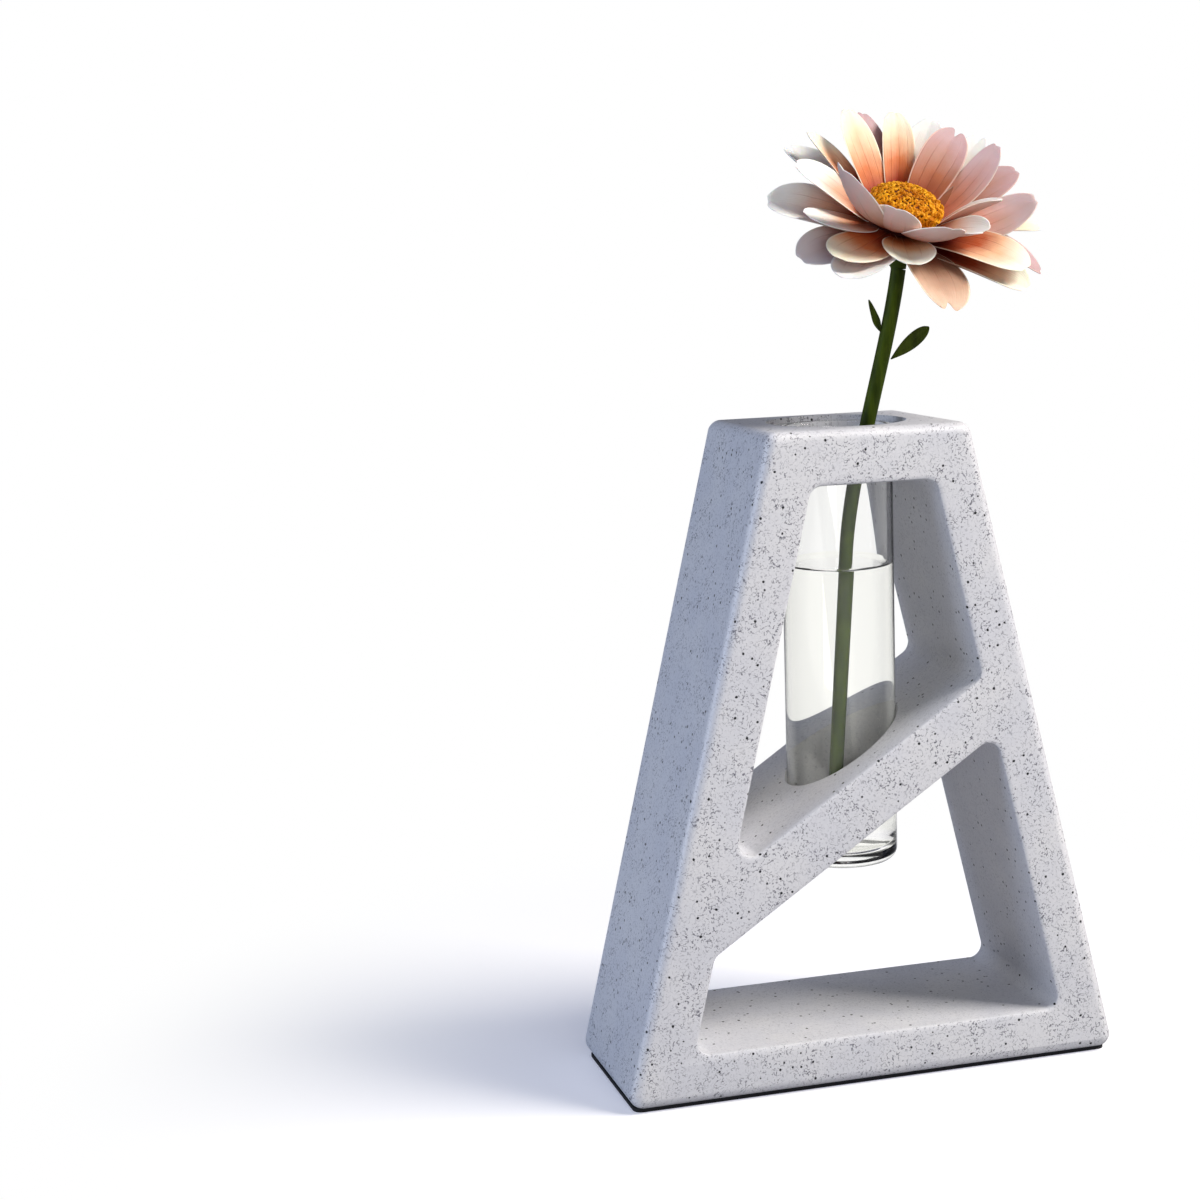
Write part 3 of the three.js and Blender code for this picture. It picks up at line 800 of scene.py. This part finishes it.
bpy.ops.object.select_all(action="DESELECT")
bpy.ops.mesh.primitive_uv_sphere_add(segments=48, ring_count=24, radius=1)
bed = bpy.context.object
bed.name = "floret_bed"
bed.scale = (DISC_RADIUS * 0.96, DISC_RADIUS * 0.96, DISC_CROWN - BED_SINK)
bpy.ops.object.transform_apply(scale=True)
bpy.ops.object.mode_set(mode="EDIT")
bpy.ops.mesh.select_all(action="SELECT")
bpy.ops.mesh.bisect(plane_co=(0, 0, 0.0001), plane_no=(0, 0, 1), clear_inner=True, use_fill=True)
bpy.ops.mesh.select_all(action="SELECT")
bpy.ops.mesh.normals_make_consistent(inside=False)
bpy.ops.object.mode_set(mode="OBJECT")
bed.matrix_world = head_matrix
bpy.ops.object.transform_apply(location=True, rotation=True, scale=True)

bed_finish = Finish("floret_bed")
bed_noise = bed_finish.noise(bed_finish.place(), 1200, 2)
bed_shader = bed_finish.surface(
    base_color=bed_finish.mix(bed_noise, card(66, 22, 0), card(116, 54, 4)),
    roughness=0.8 + 0.1 * bed_noise,
    normal=bed_finish.bump(bed_noise, 0.0003),
)
finish_piece(bed, "flower", bed_finish.output(bed_shader))

bpy.ops.object.select_all(action="DESELECT")
bpy.ops.mesh.primitive_circle_add(
    vertices=FLORET_SIDES,
    radius=FLORET_TUBE,
    location=(FLORET_CURL, 0, 0),
    rotation=(math.pi / 2, 0, 0),
)
floret = bpy.context.object
floret.name = "floret"
bpy.ops.object.transform_apply(location=True, rotation=True)
bpy.ops.object.mode_set(mode="EDIT")
bpy.ops.mesh.select_all(action="SELECT")
bpy.ops.mesh.edge_face_add()
bpy.ops.mesh.spin(steps=FLORET_STEPS, angle=FLORET_BEND, center=(0, 0, 0), axis=(0, 0, 1))
bpy.ops.mesh.select_all(action="SELECT")
bpy.ops.mesh.remove_doubles(threshold=1e-7)
bpy.ops.mesh.normals_make_consistent(inside=False)
bpy.ops.object.mode_set(mode="OBJECT")
florets = []
for i in range(FLORET_COUNT):
    radius, rise, outward = floret_seat((i + 0.5) / FLORET_COUNT)
    radius += FLORET_UNEVEN_OUT * math.sin(i * 5.3)
    rise += FLORET_UNEVEN_UP * math.sin(i * 3.1)
    around = Matrix.Rotation(i * GOLDEN_ANGLE, 4, "Z")
    copy = copy_of("floret_copy", floret)
    stand = outward.to_track_quat("Z", "Y").to_matrix().to_4x4()
    spin = Matrix.Rotation(i * 2.1, 4, "Z") @ Matrix.Rotation(0.6 * math.sin(i * 1.7), 4, "X")
    size = Matrix.Scale(0.85 + 0.5 * (radius / DISC_RADIUS) ** 3, 4)
    seat = Matrix.Translation((radius, 0, rise))
    copy.matrix_world = head_matrix @ around @ seat @ stand @ spin @ size
    florets.append(copy)
bpy.data.objects.remove(floret)
bpy.ops.object.select_all(action="DESELECT")
for copy in florets:
    copy.select_set(True)
bpy.context.view_layer.objects.active = florets[0]
bpy.ops.object.join()
bpy.ops.object.transform_apply(location=True, rotation=True, scale=True)
crown = bpy.context.object
crown.name = "disc_florets"

gold = Finish("floret_gold")
gold_place = gold.place()
gold_spread = gold.noise(gold_place, 320, 2)
gold_fine = gold.noise(gold_place, 2600, 1)
gold_colour = gold.mix(gold_spread.between(0.35, 0.65), card(192, 112, 4), card(234, 168, 28))
gold_colour = gold.mix(gold_fine.between(0.5, 0.8) * 0.6, gold_colour, card(244, 190, 66))
gold_shader = gold.surface(
    base_color=gold_colour,
    roughness=0.55 + 0.2 * gold_fine,
    specular_ior_level=0.15,
    normal=gold.bump(gold_fine, 0.00008),
)
finish_piece(crown, "flower", gold.output(gold_shader), smooth=60)
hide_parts("flower_disc")


# The petals stand in three rings round the cup. Each is a thin blade that is
# narrow and rust red at its root, darkened there with painted shade, and pale at its round tip, with a
# duller back.
PETAL_THICKNESS = 0.00032
PETAL_ROOT_GAP = 0.00065
PETAL_ROOT_WIDTH = 0.2
PETAL_WIDEST = 0.6
PETAL_TIP_TAPER = 0.965
NOTCH_WIDTH = 0.3
PETAL_COLUMNS = 8
PETAL_ROWS = 14
RING_DEPTHS = {"inner": 0.0035, "middle": 0.0053, "outer": 0.0072}


def petal_width_share(share):
    """A petal's width at a share of its length, as a share of its widest."""
    if share < PETAL_WIDEST:
        rise = math.sin(math.pi / 2 * share / PETAL_WIDEST) ** 0.6
        return PETAL_ROOT_WIDTH + (1 - PETAL_ROOT_WIDTH) * rise
    past = (share - PETAL_WIDEST) / (1 - PETAL_WIDEST)
    return math.sqrt(1 - (PETAL_TIP_TAPER * past) ** 2)


def flat_blade(name, notch, furrow):
    """One flat petal, a unit wide and long, that stands on its root."""
    bpy.ops.object.select_all(action="DESELECT")
    bpy.ops.mesh.primitive_grid_add(
        x_subdivisions=PETAL_COLUMNS,
        y_subdivisions=PETAL_ROWS,
        size=1,
        location=(0, 0, 0.5),
        rotation=(math.pi / 2, 0, 0),
    )
    blade = bpy.context.object
    blade.name = name
    bpy.ops.object.transform_apply(location=True, rotation=True)
    bpy.ops.object.mode_set(mode="EDIT")
    bpy.ops.mesh.select_mode(type="VERT")
    mesh = bmesh.from_edit_mesh(blade.data)
    for column in range(PETAL_COLUMNS + 1):
        across = 2 * column / PETAL_COLUMNS - 1
        select_points(blade, mesh, lambda point: abs(point.co.x - across / 2) < 0.001)
        depth = furrow * math.cos(3 * math.pi * across) * (1 - across**2)
        bpy.ops.transform.translate(value=(0, -depth, 0))
        for row in range(PETAL_ROWS // 2, PETAL_ROWS + 1):
            height = row / PETAL_ROWS
            cut = notch * math.exp(-((across / NOTCH_WIDTH) ** 2)) * height**7
            select_points(
                blade,
                mesh,
                lambda point: abs(point.co.x - across / 2) < 0.001 and abs(point.co.z - height) < 0.02,
            )
            bpy.ops.transform.translate(value=(0, 0, -cut))
    for row in range(PETAL_ROWS + 1):
        height = row / PETAL_ROWS
        first = row * (PETAL_COLUMNS + 1)
        chosen = set(range(first, first + PETAL_COLUMNS + 1))
        select_points(blade, mesh, lambda point: point.index in chosen)
        wide = petal_width_share(height)
        bpy.ops.transform.resize(value=(wide, 1, 1), center_override=(0, 0, height))
    bpy.ops.mesh.select_all(action="SELECT")
    bpy.ops.mesh.flip_normals()
    bpy.ops.object.mode_set(mode="OBJECT")
    return blade


def petal_finish(name, colours, vein, rim):
    """The finish of one side of a petal, with its colours from root to tip."""
    finish = Finish(name)
    vein = card(*vein)
    stops = [(share, card(*colour)) for share, colour in colours.items()]
    across_along = finish.add("ShaderNodeUVMap")
    split = {"Vector": across_along}
    across = finish.add("ShaderNodeSeparateXYZ", {}, split, "X")
    along = finish.add("ShaderNodeSeparateXYZ", {}, split, "Y")
    place = finish.place()
    mottle = finish.noise(place, 120, 3)
    fine = finish.noise(place, 900, 2)
    drawn_out = finish.add("ShaderNodeMapping", {}, {"Vector": across_along, "Scale": (60, 3, 1)})
    hairs = finish.noise(drawn_out, 1, 2)
    side = abs(across - 0.5)
    shifted = along + 0.3 * (mottle - 0.5) + 0.1 * (hairs - 0.5) + 0.25 * (side - 0.25)
    colour = finish.add("ShaderNodeValToRGB", {"stops": stops}, {"Fac": shifted}, "Color")
    wave = finish.add("ShaderNodeMath", {"operation": "COSINE"}, {0: (across - 0.5) * 25 + mottle * 1.6})
    lines = wave.between(0.93, 1.0) * (1 - along.between(0.5, 0.85))
    colour = finish.mix(lines * 0.35, colour, vein)
    colour = finish.mix(hairs.between(0.5, 0.8) * 0.12, colour, vein)
    edge = side.between(0.46, 0.5)
    colour = finish.mix(edge * 0.7, colour, card(*rim))
    shader = finish.surface(
        base_color=colour,
        roughness=0.5 + 0.12 * fine,
        specular_ior_level=0.2,
        normal=finish.bump(lines * -0.5 + hairs * 0.5 + fine * 0.2 + mottle, 0.00012),
        subsurface_weight=0.15,
        subsurface_scale=0.002,
    )
    return finish.output(shader)


# For each finish: its colours by their share of the length, its veins and its rim. The near-black colours
# at the root are painted shade over the real rust red.
PETAL_COLOURS = {
    "cream": (
        {
            0: (64, 6, 0),
            0.2: (156, 50, 12),
            0.42: (210, 118, 68),
            0.66: (242, 204, 168),
            0.92: (248, 240, 216),
        },
        (176, 90, 54),
        (250, 240, 220),
    ),
    # The dark grey-brown middle of this finish is painted shade.
    "peach_with_painted_shade": (
        {
            0: (64, 8, 0),
            0.2: (132, 56, 32),
            0.48: (128, 94, 74),
            0.75: (190, 152, 128),
            0.96: (226, 190, 166),
        },
        (136, 86, 64),
        (248, 226, 202),
    ),
    "mauve": (
        {
            0: (64, 10, 2),
            0.18: (132, 56, 28),
            0.4: (168, 102, 72),
            0.62: (182, 138, 124),
            0.88: (194, 162, 164),
        },
        (124, 70, 54),
        (226, 192, 178),
    ),
    "rose": (
        {
            0: (76, 14, 4),
            0.16: (186, 84, 44),
            0.38: (230, 150, 118),
            0.6: (238, 190, 176),
            0.86: (250, 218, 214),
        },
        (180, 116, 90),
        (252, 232, 220),
    ),
    "white": (
        {
            0: (66, 8, 0),
            0.2: (168, 86, 52),
            0.42: (224, 174, 144),
            0.62: (244, 226, 214),
            0.88: (252, 248, 242),
        },
        (196, 154, 136),
        (252, 248, 242),
    ),
    # This brighter cream is painted light, for a petal that lies in shade.
    "pale_painted_lit": (
        {
            0: (80, 12, 0),
            0.22: (190, 96, 48),
            0.46: (246, 194, 146),
            0.66: (254, 240, 216),
            0.88: (255, 252, 236),
        },
        (206, 150, 118),
        (255, 252, 240),
    ),
    "grey": (
        {
            0: (56, 2, 0),
            0.2: (130, 62, 40),
            0.42: (196, 158, 142),
            0.7: (214, 198, 194),
            0.94: (218, 208, 208),
        },
        (150, 112, 102),
        (230, 220, 214),
    ),
    "rust": (
        {
            0: (40, 0, 0),
            0.24: (82, 8, 0),
            0.46: (168, 78, 42),
            0.66: (238, 186, 148),
            0.9: (250, 244, 224),
        },
        (116, 46, 26),
        (250, 236, 214),
    ),
    "back": (
        {
            0: (60, 8, 0),
            0.18: (136, 68, 42),
            0.4: (182, 136, 114),
            0.7: (194, 168, 156),
            0.96: (198, 184, 176),
        },
        (144, 108, 94),
        (240, 230, 218),
    ),
}
petal_finishes = {}
for name, colours in PETAL_COLOURS.items():
    petal_finishes[name] = petal_finish(f"petal_{name}", *colours)

blades = {
    "round": flat_blade("round_blade", notch=0.01, furrow=0.0001),
    "notched": flat_blade("notched_blade", notch=0.09, furrow=0.00014),
}


def petal(name, ring, blade, face, turn, lift, length, width, curl, cup, roll):
    """A petal: a flat blade, cupped, rolled, curled and set on the cup.

    Its length and width are in millimetres, and the other numbers in degrees.
    """
    piece = copy_of(name.replace("petal", "blade"), blades[blade])
    pick(piece)
    piece.scale = (width / 1000, 1, length / 1000)
    bpy.ops.object.transform_apply(scale=True)
    apply_modifier(
        piece, "SIMPLE_DEFORM", deform_method="BEND", deform_axis="Z", angle=math.radians(2 * cup)
    )
    piece.rotation_euler = (0, 0, math.radians(roll))
    bpy.ops.object.transform_apply(rotation=True)
    if curl:
        apply_modifier(
            piece, "SIMPLE_DEFORM", deform_method="BEND", deform_axis="X", angle=math.radians(curl)
        )
    first = math.radians(lift - curl / 2)
    depth = RING_DEPTHS[ring]
    seat = CUP_RADIUS + (CUP_FOOT_RADIUS - CUP_RADIUS) * depth / CUP_DEPTH
    across = Vector((0, 1, 0))
    normal = Vector((-math.sin(first), 0, math.cos(first)))
    along = Vector((math.cos(first), 0, math.sin(first)))
    stand = Matrix((across, normal, along)).transposed().to_4x4()
    set_out = Matrix.Translation((seat + PETAL_ROOT_GAP, 0, -depth))
    turned = Matrix.Rotation(math.radians(turn), 4, "Z")
    piece.matrix_world = head_matrix @ turned @ set_out @ stand
    bpy.ops.object.transform_apply(location=True, rotation=True, scale=True)
    # A petal with the painted-light cream face has it on its back too: painted light on its shaded side.
    back = "pale_painted_lit" if face == "pale_painted_lit" else "back"
    piece.data.materials.append(petal_finishes[face])
    piece.data.materials.append(petal_finishes[back])
    apply_modifier(
        piece,
        "SOLIDIFY",
        thickness=PETAL_THICKNESS,
        offset=0,
        material_offset=1,
        material_offset_rim=0,
    )
    apply_modifier(piece, "SUBSURF", levels=1, render_levels=1)
    finish_piece(piece, "flower", smooth=50)
    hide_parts(name)


# For each petal: blade, face, turn, lift, length, width, curl, cup and roll.
PETALS = {
    "inner": [
        ("round", "rose", 18, 55, 24.5, 10.0, 46, 8, -2),
        ("notched", "mauve", 51, 45, 25.1, 10.9, -23, 30, 16),
        ("round", "cream", 83, 35, 28.5, 8.2, -30, 28, -7),
        ("round", "cream", 113, 39, 25.4, 9.8, 0, 18, -5),
        ("round", "white", 216, 30, 30, 15.0, 50, 58, -16),
        ("round", "white", 240, 27, 20.6, 12.8, 55, 32, 2),
        ("round", "white", 270, 24, 21.1, 12.8, 55, 33, 5),
        ("notched", "white", 298, 25, 17.4, 13.0, 19, 52, 18),
        ("round", "white", 339, 41, 17.1, 11.3, 2, 43, -12),
    ],
    "middle": [
        ("round", "mauve", 14, 38, 26.9, 10.2, -10, 9, 15),
        ("notched", "white", 42, 39, 30.5, 9.0, 0, 22, 0),
        ("round", "white", 66, 36, 31.2, 10.7, 0, 15, -12),
        ("round", "mauve", 97, 33, 29.5, 9.5, -8, 20, 5),
        ("round", "rust", 131, 27, 25.5, 10.4, 0, 31, 4),
        ("round", "white", 164, 21, 22.0, 12.3, -2, 27, -13),
        ("round", "white", 194, 3, 20.1, 11.0, 15, 11, -3),
        ("round", "cream", 226, -5, 25.1, 13.9, 14, 18, 2),
        ("round", "pale_painted_lit", 256, 2, 20.8, 12.3, 0, 26, 11),
        ("round", "rust", 309, 9, 26.7, 14.5, -33, 11, 15),
        ("round", "rose", 342, 36, 26.2, 14.3, 39, 12, 20),
    ],
    "outer": [
        ("round", "cream", 6, 14, 31.7, 12.0, -22, 47, 14),
        ("notched", "white", 130, 16, 29.0, 14.5, 0, 46, -6),
        ("round", "white", 169, 1, 25.4, 14.9, -11, 34, -20),
        ("round", "grey", 203, -15, 23.0, 12.9, -15, 21, -9),
        ("round", "white", 234, -5, 28.8, 15, 7, 29, 20),
        ("notched", "peach_with_painted_shade", 274, -8, 28.1, 15, -42, 10, -1),
        ("round", "rust", 309, 4, 28.7, 13.6, -6, 50, 18),
        ("round", "mauve", 341, 3, 29.2, 13.4, -45, 30, 6),
    ],
}
for ring, rows in PETALS.items():
    for number, row in enumerate(rows, start=1):
        petal(f"petal_{ring}_{number}", ring, *row)
for blade in blades.values():
    bpy.data.objects.remove(blade)
